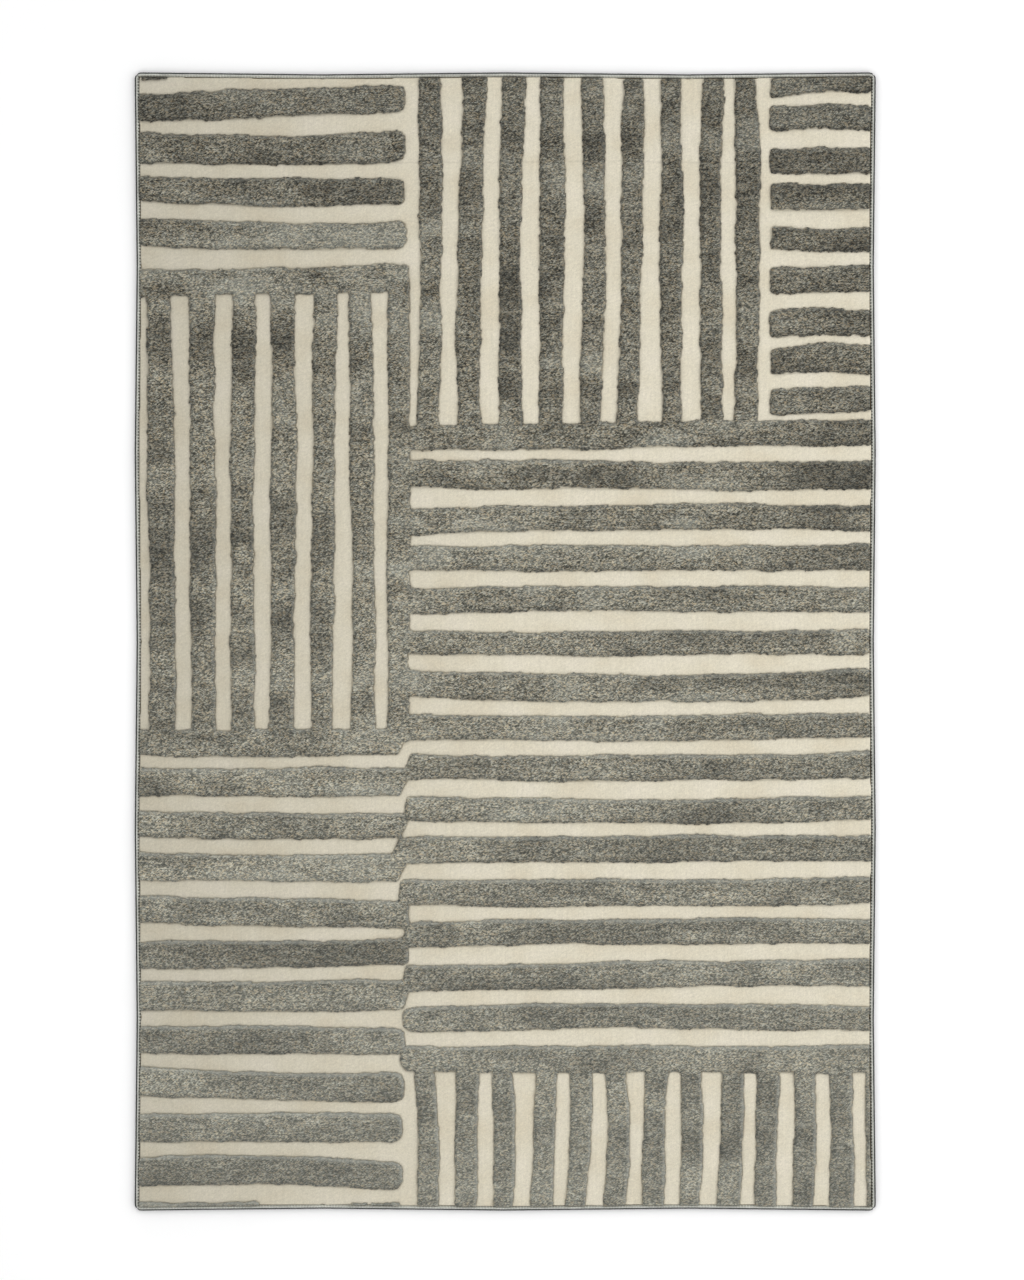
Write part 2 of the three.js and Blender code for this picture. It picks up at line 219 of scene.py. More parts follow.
TUFTS_X = math.ceil((RUG_HIGH.x - RUG_LOW.x) / TUFT) + 2 * MARGIN_CELLS
TUFTS_Y = math.ceil((RUG_HIGH.y - RUG_LOW.y) / TUFT) + 2 * MARGIN_CELLS
GRID_X = (RUG_LOW.x + RUG_HIGH.x - TUFTS_X * TUFT) / 2
GRID_Y = (RUG_LOW.y + RUG_HIGH.y - TUFTS_Y * TUFT) / 2


def flat_faces(node, height):
    """The node's faces that lie at one height, as triangles of plan points."""
    mesh = NODES[node].data
    mesh.calc_loop_triangles()
    points = np.empty(len(mesh.vertices) * 3, np.float32)
    mesh.vertices.foreach_get("co", points)
    corners = np.empty(len(mesh.loop_triangles) * 3, np.int32)
    mesh.loop_triangles.foreach_get("vertices", corners)
    triangles = points.reshape(-1, 3)[corners].reshape(-1, 3, 3)
    level = np.abs(triangles[:, :, 2] - height).max(1) < LEVEL_WITHIN
    return triangles[level, :, :2].astype(float)


def paint(grid, triangles, value):
    """Writes value on the fine grid's cells whose middle is in one of the triangles."""
    origin = np.array([GRID_X, GRID_Y])
    for a, b, c in triangles:
        low = np.floor((np.minimum(np.minimum(a, b), c) - origin) / FINE).astype(int)
        high = np.ceil((np.maximum(np.maximum(a, b), c) - origin) / FINE).astype(int) + 1
        x = GRID_X + (np.arange(low[0], high[0]) + 0.5)[None, :] * FINE
        y = GRID_Y + (np.arange(low[1], high[1]) + 0.5)[:, None] * FINE
        turn = math.copysign(1, (b[0] - a[0]) * (c[1] - a[1]) - (c[0] - a[0]) * (b[1] - a[1]))
        inside = np.ones((high[1] - low[1], high[0] - low[0]), bool)
        for p, q in ((a, b), (b, c), (c, a)):
            inside &= turn * ((q[0] - p[0]) * (y - p[1]) - (q[1] - p[1]) * (x - p[0])) >= 0
        grid[low[1]:high[1], low[0]:high[0]][inside] = value


def blurred(grid, sigma):
    """The grid of numbers with a Gaussian blur of sigma metres."""
    reach = math.ceil(3 * sigma / FINE)
    weights = np.exp(-0.5 * (np.arange(-reach, reach + 1) * FINE / sigma) ** 2)
    weights /= weights.sum()
    for axis in (0, 1):
        grid = sum(w * np.roll(grid, k - reach, axis) for k, w in enumerate(weights))
    return grid


def spread(labels, steps):
    """Lets the labels grow into the cells without one."""
    for _ in range(steps):
        for axis in (0, 1):
            for way in (1, -1):
                labels = np.where(labels == 0, np.roll(labels, way, axis), labels)
    return labels


def bridged(labels):
    """Closes the thin gaps that CAD solids keep between them where one stripe meets another."""
    for axis in (0, 1):
        before, after = np.roll(labels, 1, axis), np.roll(labels, -1, axis)
        labels = np.where((labels == 0) & (before > 0) & (after > 0), before, labels)
    return labels


def at_corners(grid):
    """The fine grid's numbers at its cells' corners."""
    padded = np.pad(grid, 1, mode="edge")
    return (padded[1:, 1:] + padded[1:, :-1] + padded[:-1, 1:] + padded[:-1, :-1]) / 4


def smooth_noise(step_x, step_y):
    """Noise on the tuft grid's corners, even and seeded, with features of the given size in metres."""
    columns, rows = TUFTS_X + 1, TUFTS_Y + 1
    u, v = np.arange(columns) * TUFT / step_x, np.arange(rows) * TUFT / step_y
    lattice = RNG.normal(size=(int(v[-1]) + 2, int(u[-1]) + 2))
    i, j = u.astype(int), v.astype(int)
    s, t = u - i, v - j
    s, t = s * s * (3 - 2 * s), (t * t * (3 - 2 * t))[:, None]
    low = lattice[j][:, i] * (1 - s) + lattice[j][:, i + 1] * s
    high = lattice[j + 1][:, i] * (1 - s) + lattice[j + 1][:, i + 1] * s
    noise = low * (1 - t) + high * t
    return noise / noise.std()


def smoothstep(low, high, values):
    """0 below low, 1 above high, and a smooth rise between them."""
    t = np.clip((values - low) / (high - low), 0, 1)
    return t * t * (3 - 2 * t)


def shoulder(share):
    """1 at an outline, falling to 0 where the blurred share of the pile is nearly full."""
    return 1 - smoothstep(*SHOULDER_SHARES, share)


def tidied(dark, inside):
    """Drops tufts that stand alone, and fills single gaps and corners that only touch."""
    for _ in range(2):
        beside = sum(np.roll(dark, way, axis).astype(int) for axis in (0, 1) for way in (1, -1))
        dark = np.where(beside <= 1, False, np.where(beside >= 3, True, dark)) & inside
    corner = dark & np.roll(dark, (1, 1), (0, 1)) & ~np.roll(dark, 1, 0) & ~np.roll(dark, 1, 1)
    other = ~dark & ~np.roll(dark, (1, 1), (0, 1)) & np.roll(dark, 1, 0) & np.roll(dark, 1, 1)
    return (dark | other | np.roll(corner, -1, 0)) & inside


def covered(inside, dark, sigma):
    """How much of the surroundings is rug, and how much of that is dark pile, at the cells' corners."""
    rug = blurred(inside.astype(float), sigma)
    share = blurred(dark.astype(float), sigma) / np.maximum(rug, 1e-3)
    return at_corners(rug), at_corners(np.minimum(share, 1))


def slope_of(grid):
    """The slope of a fine grid, as x and y parts at the tuft grid's corners."""
    along_y, along_x = np.gradient(grid, FINE)
    return np.stack([along_x[::2, ::2], along_y[::2, ::2]], -1)


class Pattern:
    """The rug's pattern on the grid of tufts, read from the CAD nodes.

    Each cell has a label, the number of its dark stripe or 0. Each corner has its place in plan, the
    blurred shares of rug and of dark pile round it, how far a ragged edge strays there, and its side,
    which is above 0 where a stripe's edge gets a painted highlight and below 0 where it gets painted
    shade.
    """

    def __init__(self):
        shape = (2 * TUFTS_Y, 2 * TUFTS_X)
        inside = np.zeros(shape, bool)
        paint(inside, flat_faces("cream_pile", CREAM_LOW), True)
        labels = np.zeros(shape, np.int16)
        for number, node in enumerate(DARK_NODES, 1):
            paint(labels, flat_faces(node, DARK_HIGH), number)
        labels = bridged(labels)
        rug, dark = covered(inside, labels > 0, EDGE_BLUR)
        self.rug, self.dark = rug[::2, ::2], dark[::2, ::2]
        self.rug_slope, self.dark_slope = slope_of(rug), slope_of(dark)
        wide = slope_of(covered(inside, labels > 0, SIDE_BLUR)[1])
        self.side = -(wide @ np.array(EDGE_LIGHT)) * SIDE_BLUR * math.sqrt(2 * math.pi)
        ragged, jog = (np.linspace(*share, TUFTS_Y + 1)[:, None] for share in (RAGGED, JOG))
        self.stray = ragged * smooth_noise(RAGGED_SIZE, RAGGED_SIZE)
        self.stray += jog * np.clip(np.round(smooth_noise(JOG_SIZE, JOG_SIZE)), -1, 1)
        self.stray = np.clip(self.stray, -MOST_STRAY, MOST_STRAY)
        stray_middle = (self.stray[1:, 1:] + self.stray[:-1, :-1]) / 2
        self.inside = rug[1::2, 1::2] > 0.5
        is_dark = (dark[1::2, 1::2] + stray_middle > 0.5) & self.inside
        is_dark = tidied(is_dark, self.inside)
        self.labels = np.where(is_dark, spread(labels, LABEL_GROWTH)[1::2, 1::2], 0)
        self.place_corners()

    def place_corners(self):
        """Moves the corners on an outline onto it, so that outlines don't run in steps."""
        x = GRID_X + np.arange(TUFTS_X + 1) * TUFT
        y = GRID_Y + np.arange(TUFTS_Y + 1) * TUFT
        self.plan = np.stack(np.meshgrid(x, y), -1)
        dark, inside = np.pad(self.labels > 0, 1), np.pad(self.inside, 1)
        on_rim = mixed_corners(inside)
        on_stripe = mixed_corners(dark) & ~on_rim
        wobble = RNG.normal(scale=WOBBLE, size=self.plan.shape)
        self.plan += np.where(on_rim[..., None], 0, wobble)
        self.pull(on_stripe, 0.5 - self.dark - self.stray, self.dark_slope)
        self.pull(on_rim, 0.5 - self.rug, self.rug_slope)

    def pull(self, which, short, slope):
        """Moves the given corners up the slope, as far as the blurred share there is short."""
        steep = np.maximum((slope ** 2).sum(-1), 1.0)
        move = (short / steep)[..., None] * slope
        length = np.linalg.norm(move, axis=-1, keepdims=True)
        move *= np.minimum(1, MOST_PULL / np.maximum(length, 1e-9))
        self.plan += np.where(which[..., None], move, 0)


def mixed_corners(padded):
    """Which corners have cells of both kinds round them. The grid comes with one cell of margin."""
    around = sum(
        padded[j:padded.shape[0] - 1 + j, i:padded.shape[1] - 1 + i].astype(int)
        for j in (0, 1) for i in (0, 1)
    )
    return (around > 0) & (around < 4)


# ---------------------------------------------------------------- pile meshes


def brush_marks(pattern):
    """The brushing of the dark pile by hands and rolling, and the tone of painted sheen that it gives."""
    x, y = pattern.plan[..., 0], pattern.plan[..., 1]
    marks = sum(strength * smooth_noise(length, breadth) for length, breadth, strength in LOOSE_SIZES)
    marks *= LOOSE_MARKS / marks.std()
    for middle_x, middle_y, length, breadth, paler in BRUSHED:
        away = ((x - middle_x * MM) / (length * MM)) ** 2 + ((y - middle_y * MM) / (breadth * MM)) ** 2
        marks += paler * np.exp(-away / 2)
    marks = np.clip(marks, -MOST_MARK, MOST_MARK)
    strength = FOOT_MARKS + (HEAD_MARKS - FOOT_MARKS) * smoothstep(*MARKS_RISE, y)
    # The tone stands for painted sheen, darker towards the head and the right
    painted_sheen_tone = TONE + TONE_TO_HEAD * y + TONE_TO_RIGHT * x
    return marks, painted_sheen_tone * np.exp(strength * marks)


def pile_heights(pattern):
    """The dark and the cream pile's heights at the tuft grid's corners, and how deep the fold line is."""
    clumps = smooth_noise(*CLUMP_SIZE)
    waves = smooth_noise(*WAVE_SIZE)
    tufts = RNG.normal(size=pattern.marks.shape)
    crease_y = RUG_LOW.y + CREASE_AT * (RUG_HIGH.y - RUG_LOW.y)
    bend = CREASE_BEND * smooth_noise(*CREASE_BEND_SIZE)
    crease = np.exp(-0.5 * ((pattern.plan[..., 1] - crease_y - bend) / CREASE_WIDTH) ** 2)
    lowered = RIM_SHOULDER * shoulder(pattern.rug) + CREASE_DEPTH * crease
    dark = DARK_HIGH - DARK_SINK + DARK_BRUSHED * pattern.marks
    dark += DARK_CLUMPS * clumps + DARK_TUFTS * tufts
    dark -= DARK_SHOULDER * shoulder(pattern.dark) + lowered
    cream = CREAM_HIGH - CREAM_SINK + CREAM_WAVES * waves
    cream += CREAM_CLUMPS * clumps + CREAM_TUFTS * tufts
    cream -= CREAM_SHOULDER * shoulder(1 - pattern.dark) + lowered
    return dark, cream, crease


def new_piece(name, points, faces, material):
    """A mesh piece from points and quads, smooth shaded, that rides on the rug."""
    mesh = bpy.data.meshes.new(name)
    mesh.vertices.add(len(points))
    mesh.vertices.foreach_set("co", np.asarray(points, np.float32).ravel())
    mesh.loops.add(faces.size)
    mesh.loops.foreach_set("vertex_index", faces.astype(np.int32).ravel())
    mesh.polygons.add(len(faces))
    mesh.polygons.foreach_set("loop_start", np.arange(len(faces), dtype=np.int32) * faces.shape[1])
    mesh.update(calc_edges=True)
    mesh.shade_smooth()
    mesh.materials.append(material)
    piece = bpy.data.objects.new(name, mesh)
    bpy.context.scene.collection.objects.link(piece)
    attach(piece, "root")
    return piece


def add_field(piece, name, values):
    """Stores a number for each of a piece's points, which its material reads."""
    field = piece.data.attributes.new(name, "FLOAT", "POINT")
    field.data.foreach_set("value", np.asarray(values, np.float32).ravel())


def patch_corners(cells):
    """The corners of a patch's cells, and the starts and ends of the cell sides on its outline."""
    row, column = np.nonzero(cells)
    width = TUFTS_X + 1
    a = row * width + column
    corners = np.stack([a, a + 1, a + 1 + width, a + width], 1)
    open_sides = np.stack([
        ~np.roll(cells, way, axis)[row, column] for way, axis in ((1, 0), (-1, 1), (-1, 0), (1, 1))
    ], 1)
    return corners, corners[open_sides], np.roll(corners, -1, 1)[open_sides]


def pile_piece(name, cells, pattern, tips, roots, lean, material, sharp_rim=False):
    """One patch of pile: its tips, its walls down to the roots, and its underside."""
    corners, starts, ends = patch_corners(cells)
    used, local = np.unique(corners, return_inverse=True)
    top = local.reshape(-1, 4)
    start, end = np.searchsorted(used, starts), np.searchsorted(used, ends)
    rim, rim_start = np.unique(start, return_inverse=True)
    rim_end = np.searchsorted(rim, end)
    plan = pattern.plan.reshape(-1, 2)[used]
    lay = np.array(lean) * pattern.lie.reshape(-1, 1)[used]
    height = tips.ravel()[used]
    bend = roots + WALL_RISE * (height[rim] - roots)
    points = np.concatenate([
        np.column_stack([plan + lay, height]),
        np.column_stack([plan, np.full(len(used), roots)]),
        np.column_stack([plan[rim] + WALL_LEAN * lay[rim], bend]),
    ])
    root, middle = len(used), 2 * len(used)
    faces = np.concatenate([
        top,
        top[:, ::-1] + root,
        np.column_stack([start + root, end + root, rim_end + middle, rim_start + middle]),
        np.column_stack([rim_start + middle, rim_end + middle, end, start]),
    ])
    piece = new_piece(name, points, faces, material)
    if sharp_rim:
        piece.data.polygons.foreach_set("use_smooth", np.arange(len(faces)) < 2 * len(top))
    source = np.concatenate([used, used, used[rim]])
    for field in ("marks", "tone", "side"):
        add_field(piece, field, getattr(pattern, field).ravel()[source])
    return piece


def middle_of(node):
    """The x and y of the middle of a node's box."""
    low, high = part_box(node)
    return (low.x + high.x) / 2, (low.y + high.y) / 2


def cream_blocks(pattern):
    """The cream pile in pieces, parted where dark stripes hide the joins."""
    comb_low, comb_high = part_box("dark_pile_left_comb")
    foot_comb_low, foot_comb_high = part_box("dark_pile_foot_comb")
    last_upright = comb_high.x - LAST_UPRIGHT_MIDDLE
    first_middle = middle_of("dark_pile_top_middle_1")[0]
    last_middle = middle_of("dark_pile_top_middle_9")[0]
    first_right, second_right = (middle_of(f"dark_pile_right_{k}")[1] for k in (1, 2))
    meeting = (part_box(LOWER_LEFT)[1].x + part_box(LOWER_RIGHT)[0].x) / 2
    x = GRID_X + (np.arange(TUFTS_X) + 0.5)[None, :] * TUFT
    y = GRID_Y + (np.arange(TUFTS_Y) + 0.5)[:, None] * TUFT
    head = y > first_right
    top_left = (x < first_middle) & ((y > comb_high.y - BAND_MIDDLE) | (head & (x > last_upright)))
    left = ~top_left & (x < last_upright) & (y > comb_low.y + BAND_MIDDLE)
    first_gap = ~head & (x > last_upright) & (y > second_right)
    lower = y < np.where(x < meeting, middle_of(LOWER_LEFT)[1], middle_of(LOWER_RIGHT)[1])
    bottom_right = x > foot_comb_low.x + FOOT_UPRIGHT_MIDDLE
    bottom_right = bottom_right & (y < foot_comb_high.y - FOOT_BAND_MIDDLE)
    areas = {
        "cream_top_left": top_left,
        "cream_left": left,
        "cream_top_middle": (head & (x >= first_middle) & (x < last_middle)) | first_gap,
        "cream_top_right": head & (x >= last_middle),
        "cream_middle": ~head & ~left & ~lower & ~first_gap,
        "cream_lower": lower & ~bottom_right,
        "cream_bottom_right": bottom_right,
    }
    cream = pattern.inside & (pattern.labels == 0)
    return {name: cream & area for name, area in areas.items()}


def make_pile(dark_yarn, cream_yarn):
    """Every patch of dark pile and every piece of the cream pile."""
    pattern = Pattern()
    pattern.marks, pattern.tone = brush_marks(pattern)
    pattern.lie = LEAST_LIE + (MOST_LIE - LEAST_LIE) * RNG.random(pattern.marks.shape)
    dark_tips, cream_tips, crease = pile_heights(pattern)
    # Painted shade along the fold line, on the cream pile only
    pattern.side -= CREASE_SHADE * crease * (1 - pattern.dark)
    pieces = []
    for number, node in enumerate(DARK_NODES, 1):
        piece = pile_piece(
            node + "_tufts", pattern.labels == number, pattern, dark_tips, DARK_LOW, DARK_LEAN,
            dark_yarn,
        )
        pieces.append(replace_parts(piece, node))
    for name, cells in cream_blocks(pattern).items():
        piece = pile_piece(
            name, cells, pattern, cream_tips, CREAM_LOW, CREAM_LEAN, cream_yarn,
            sharp_rim=True,
        )
        pieces.append(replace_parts(piece, "cream_pile"))
    return pieces


# ---------------------------------------------------------------- the flat layers and the edge


def rim_loop(node, steps):
    """The outline of a flat CAD layer, anticlockwise, as points evenly spaced along it."""
    corners = np.unique(flat_faces(node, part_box(node)[0].z).reshape(-1, 2).round(6), axis=0)
    loop = corners[np.argsort(np.arctan2(corners[:, 1], corners[:, 0]))]
    closed = np.concatenate([loop, loop[:1]])
    along = np.concatenate([[0], np.cumsum(np.linalg.norm(np.diff(closed, axis=0), axis=1))])
    at = np.linspace(0, along[-1], steps, endpoint=False)
    return np.column_stack([np.interp(at, along, closed[:, k]) for k in (0, 1)]), along[-1] / steps


def softened(loop, reach):
    """A closed loop of points with its corners rounded over by an average of 2 * reach + 1 points."""
    return sum(np.roll(loop, k, 0) for k in range(-reach, reach + 1)) / (2 * reach + 1)


def layer_plan(node):
    """A grid of plan points that fills a flat CAD layer's rounded outline, and its size in cells."""
    low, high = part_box(node)
    columns, rows = (max(2, round((high[k] - low[k]) / LAYER_CELL)) for k in (0, 1))
    u, v = np.meshgrid(np.linspace(-1, 1, columns + 1), np.linspace(-1, 1, rows + 1))
    half = np.array([high.x - low.x, high.y - low.y]) / 2
    plan = np.stack([u * half[0], v * half[1]], -1).reshape(-1, 2)
    loop, _ = rim_loop(node, RIM_POINTS)
    angles = np.arctan2(loop[:, 1], loop[:, 0])
    order = np.argsort(angles)
    distances = np.linalg.norm(loop, axis=1)[order]
    reach = np.interp(np.arctan2(plan[:, 1], plan[:, 0]), angles[order], distances, period=2 * math.pi)
    share = np.maximum(np.abs(u), np.abs(v)).ravel()
    length = np.linalg.norm(plan, axis=1)
    plan *= (share * reach / np.maximum(length, 1e-9))[:, None]
    return plan, columns, rows


def sheet_faces(columns, rows):
    """The quads of a closed sheet: its top, its bottom, whose points come first, and its rim."""
    across = columns + 1
    count = across * (rows + 1)
    index = np.arange(rows * columns)
    a = index // columns * across + index % columns
    bottom = np.column_stack([a, a + 1, a + 1 + across, a + across])
    ring = np.concatenate([
        np.arange(columns), columns + across * np.arange(rows),
        across * rows + columns - np.arange(columns), across * (rows - np.arange(rows)),
    ])
    following = np.roll(ring, -1)
    rim = np.column_stack([ring, following, following + count, ring + count])
    return np.concatenate([bottom + count, bottom[:, ::-1], rim])


def layer_piece(name, node, material):
    """A thin closed sheet in a flat CAD layer's outline, with a slight ripple."""
    low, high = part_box(node)
    plan, columns, rows = layer_plan(node)
    sway = RIPPLE_SWAY * np.sin(plan[:, 1] / RIPPLE_SIZE[1])
    wave = RIPPLE * np.sin(plan[:, 0] / RIPPLE_SIZE[0] + sway)
    bottom = np.column_stack([plan, low.z + RIPPLE + wave])
    points = np.concatenate([bottom, bottom + [0, 0, high.z - low.z - 2 * RIPPLE]])
    piece = new_piece(name, points, sheet_faces(columns, rows), material)
    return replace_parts(piece, node)


def roll_section():
    """The serged edge's grip and its roll, as points of inset from the rug's edge and height."""
    low, high = (corner.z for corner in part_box("woven_backing"))
    edge_low, edge_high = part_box("edge_left")
    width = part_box("cream_pile")[0].x - edge_low.x - ROLL_SPACE
    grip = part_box("woven_backing")[0].x - edge_low.x - ROLL_SPACE
    middle = (low + high) / 2
    roll = []
    for k in range(ROLL_STEPS + 1):
        angle = ROLL_START + k / ROLL_STEPS * (2 * math.pi - 2 * ROLL_START)
        inward, rise = math.cos(angle), math.sin(angle)
        reach = edge_high.z - middle if rise > 0 else middle
        bulge = abs(inward) ** (INNER_BULGE if inward > 0 else OUTER_BULGE)
        side = math.copysign(bulge, inward)
        roll.append((width / 2 * (1 + side), middle + reach * rise))
    return np.array([(grip, low - GRIP_SPACE), (grip, high + GRIP_SPACE)]), np.array(roll)


class EdgePath:
    """The serged roll's path round the rug, in steps of a part of a wrap."""

    def __init__(self):
        around = 2 * (RUG_HIGH.x - RUG_LOW.x + RUG_HIGH.y - RUG_LOW.y)
        self.steps = round(around / WRAP_PITCH) * STEPS_PER_WRAP
        loop, self.step = rim_loop("woven_backing", self.steps)
        self.loop = softened(loop, round(CORNER_REACH / self.step))
        self.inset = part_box("woven_backing")[0].x - RUG_LOW.x
        tangent = np.roll(self.loop, -1, 0) - np.roll(self.loop, 1, 0)
        tangent /= np.linalg.norm(tangent, axis=1, keepdims=True)
        self.outward = np.column_stack([tangent[:, 1], -tangent[:, 0]])

    def run(self, name):
        """The steps of one run of the edge, in order: those that lie nearest to its side of the rug."""
        past_side = np.abs(self.loop) - np.array([RUG_HIGH.x, RUG_HIGH.y])
        along_x = past_side[:, 1] > past_side[:, 0]
        run = {
            "edge_foot": along_x & (self.loop[:, 1] < 0), "edge_head": along_x & (self.loop[:, 1] > 0),
            "edge_left": ~along_x & (self.loop[:, 0] < 0), "edge_right": ~along_x & (self.loop[:, 0] > 0),
        }[name]
        first = int(np.nonzero(run & ~np.roll(run, 1))[0][0])
        return (first + np.arange(run.sum())) % self.steps


def wound(roll, wraps, from_end):
    """The roll's section at each step of a run, drawn in between wraps, and how high on a wrap it is."""
    thickness = 1 - END_DIP * np.exp(-(from_end / END_REACH) ** 2)
    knots = SLACK_STEPS * np.arange(len(wraps) // SLACK_STEPS + 2)
    slack = 1 + SLACK * np.interp(np.arange(len(wraps)), knots, RNG.normal(size=len(knots)))
    turn = np.arange(len(roll)) / len(roll)
    ridge = np.abs(np.sin(math.pi * (wraps[:, None] + WRAP_SLANT * turn))) ** WRAP_POWER
    depth = WRAP_DEPTH * (1 - ridge) * slack[:, None]
    swell = thickness[:, None] * (1 - depth / ROLL_RADIUS)
    centre = roll.mean(0)
    points = centre + (roll - centre) * swell[..., None]
    points[..., 1] = np.maximum(points[..., 1], 0)
    return points, ridge


def tube_faces(rings, around):
    """The quads between rings of points."""
    ring, k = np.divmod(np.arange((rings - 1) * around), around)
    a, b = ring * around + k, ring * around + (k + 1) % around
    return np.column_stack([a, a + around, b + around, b])


def edge_piece(name, path, material):
    """One run of the serged edge, with the yarn's wraps round the roll and a dip at each corner."""
    run = path.run(name)
    step = np.arange(len(run))
    grip, roll = roll_section()
    wraps = step / STEPS_PER_WRAP
    rolled, ridge = wound(roll, wraps, np.minimum(step, step[-1] - step) * path.step)
    section = np.concatenate([np.broadcast_to(grip, (len(run), *grip.shape)), rolled], 1)
    ridge = np.concatenate([np.ones((len(run), len(grip))), ridge], 1)
    plan = path.loop[run][:, None] + path.outward[run][:, None] * (path.inset - section[..., :1])
    points = np.concatenate([plan, section[..., 1:]], -1).reshape(-1, 3)
    around = section.shape[1]
    piece = new_piece(name + "_yarn", points, tube_faces(len(run), around), material)
    stitch = STITCH_SHADE[name] * smoothstep(*STITCH_ENDS, np.sin(math.pi * wraps))
    add_field(piece, "ridge", ridge)
    add_field(piece, "across", section[..., 0] / roll[:, 0].max())
    add_field(piece, "stitch", np.repeat(stitch, around))
    close_ends(piece, around)
    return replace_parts(piece, name)


def close_ends(piece, around):
    """Closes the two ends of a tube whose points come in rings."""
    edit = bmesh.new()
    edit.from_mesh(piece.data)
    bmesh.ops.holes_fill(edit, edges=[e for e in edit.edges if e.is_boundary], sides=around)
    bmesh.ops.recalc_face_normals(edit, faces=edit.faces)
    edit.to_mesh(piece.data)
    edit.free()
    piece.data.shade_smooth()


# ---------------------------------------------------------------- materials


def srgb(red, green, blue):
    """A colour of 0 to 255 numbers as a linear one."""
    levels = (value / 255 for value in (red, green, blue))
    return (*((v / 12.92 if v <= 0.04045 else ((v + 0.055) / 1.055) ** 2.4) for v in levels), 1)


# The places of the colour sockets on a Mix node, which share their names with other types' sockets
FIRST_COLOUR, SECOND_COLOUR, MIXED_COLOUR = 6, 7, 2

YARN_SPECULAR = 0.2
SHEEN_ROUGHNESS = 0.6


class Nodes:
    """A material's node tree, with short calls for the nodes that the yarns share."""

    def __init__(self, name):
        self.material = bpy.data.materials.new(name)
        self.material.use_nodes = True
        self.tree = self.material.node_tree
        self.shader = self.tree.nodes["Principled BSDF"]
        coordinates = self.tree.nodes.new("ShaderNodeTexCoord")
        self.place = coordinates.outputs["Object"]

    def link(self, source, target):
        """Feeds a socket from another node's output, or sets it to a value."""
        if hasattr(source, "is_output"):
            self.tree.links.new(source, target)
        else:
            target.default_value = source

    def stretched(self, length, breadth, turn=0.0):
        """Coordinates in which features are 1 across, for features of this length and breadth in mm."""
        node = self.tree.nodes.new("ShaderNodeMapping")
        node.vector_type = "TEXTURE"
        node.inputs["Scale"].default_value = (length * MM, breadth * MM, breadth * MM)
        node.inputs["Rotation"].default_value = (0, 0, math.radians(turn))
        self.link(self.place, node.inputs["Vector"])
        return node.outputs["Vector"]

    def noise(self, length, breadth, turn=0.0, detail=2.0, roughness=0.5, distortion=0.0):
        """Smooth noise of about 0.3 to 0.7, with features of this length and breadth in mm."""
        node = self.tree.nodes.new("ShaderNodeTexNoise")
        self.link(self.stretched(length, breadth, turn), node.inputs["Vector"])
        node.inputs["Scale"].default_value = 1
        node.inputs["Detail"].default_value = detail
        node.inputs["Roughness"].default_value = roughness
        node.inputs["Distortion"].default_value = distortion
        return node.outputs["Fac"]

    def flecks(self, length, breadth, turn=0.0):
        """Two random numbers for each cell of a close-packed pattern, and the distance from its middle."""
        node = self.tree.nodes.new("ShaderNodeTexVoronoi")
        node.voronoi_dimensions = "2D"
        node.inputs["Scale"].default_value = 1
        self.link(self.stretched(length, breadth, turn), node.inputs["Vector"])
        split = self.tree.nodes.new("ShaderNodeSeparateColor")
        self.link(node.outputs["Color"], split.inputs["Color"])
        return split.outputs["Red"], split.outputs["Green"], node.outputs["Distance"]

    def attribute(self, name):
        """A number that the piece stores for each of its points."""
        node = self.tree.nodes.new("ShaderNodeAttribute")
        node.attribute_name = name
        return node.outputs["Fac"]

    def along(self, axis):
        """The place along one axis of the rug, in metres."""
        node = self.tree.nodes.new("ShaderNodeSeparateXYZ")
        self.link(self.place, node.inputs["Vector"])
        return node.outputs[axis]

    def math(self, operation, a, b=0.0):
        node = self.tree.nodes.new("ShaderNodeMath")
        node.operation = operation
        self.link(a, node.inputs[0])
        self.link(b, node.inputs[1])
        return node.outputs["Value"]

    def weighed(self, *parts):
        """The sum of values, each with a weight."""
        total = None
        for value, weight in parts:
            share = self.math("MULTIPLY", value, weight)
            total = share if total is None else self.math("ADD", total, share)
        return total

    def ranged(self, value, low, high, to_low=0.0, to_high=1.0):
        """The value carried from one range to another, and held at its ends."""
        node = self.tree.nodes.new("ShaderNodeMapRange")
        for socket, given in zip(node.inputs, (value, low, high, to_low, to_high)):
            self.link(given, socket)
        return node.outputs["Result"]

    def ramp(self, value, *stops):
        """A colour along a value, from stops of a place and a linear colour."""
        node = self.tree.nodes.new("ShaderNodeValToRGB")
        ramp = node.color_ramp
        while len(ramp.elements) < len(stops):
            ramp.elements.new(0.5)
        for element, (position, colour) in zip(ramp.elements, stops):
            element.position, element.color = position, colour
        self.link(value, node.inputs["Fac"])
        return node.outputs["Color"]

    def dyed(self, value, *stops):
        """A colour along a value, from stops of a place and a colour of 0 to 255 numbers."""
        return self.ramp(value, *((place, srgb(*colour)) for place, colour in stops))

    def mix(self, share, a, b, blend="MIX"):
        node = self.tree.nodes.new("ShaderNodeMix")
        node.data_type = "RGBA"
        node.blend_type = blend
        self.link(share, node.inputs["Factor"])
        self.link(a, node.inputs[FIRST_COLOUR])
        self.link(b, node.inputs[SECOND_COLOUR])
        return node.outputs[MIXED_COLOUR]

    def times(self, colour, factor):
        """The colour multiplied by a number or by another colour."""
        return self.mix(1.0, colour, factor, "MULTIPLY")

    def bump(self, height, distance, strength):
        """A normal roughened by a height, which counts as this distance."""
        node = self.tree.nodes.new("ShaderNodeBump")
        node.inputs["Distance"].default_value = distance
        node.inputs["Strength"].default_value = strength
        self.link(height, node.inputs["Height"])
        return node.outputs["Normal"]

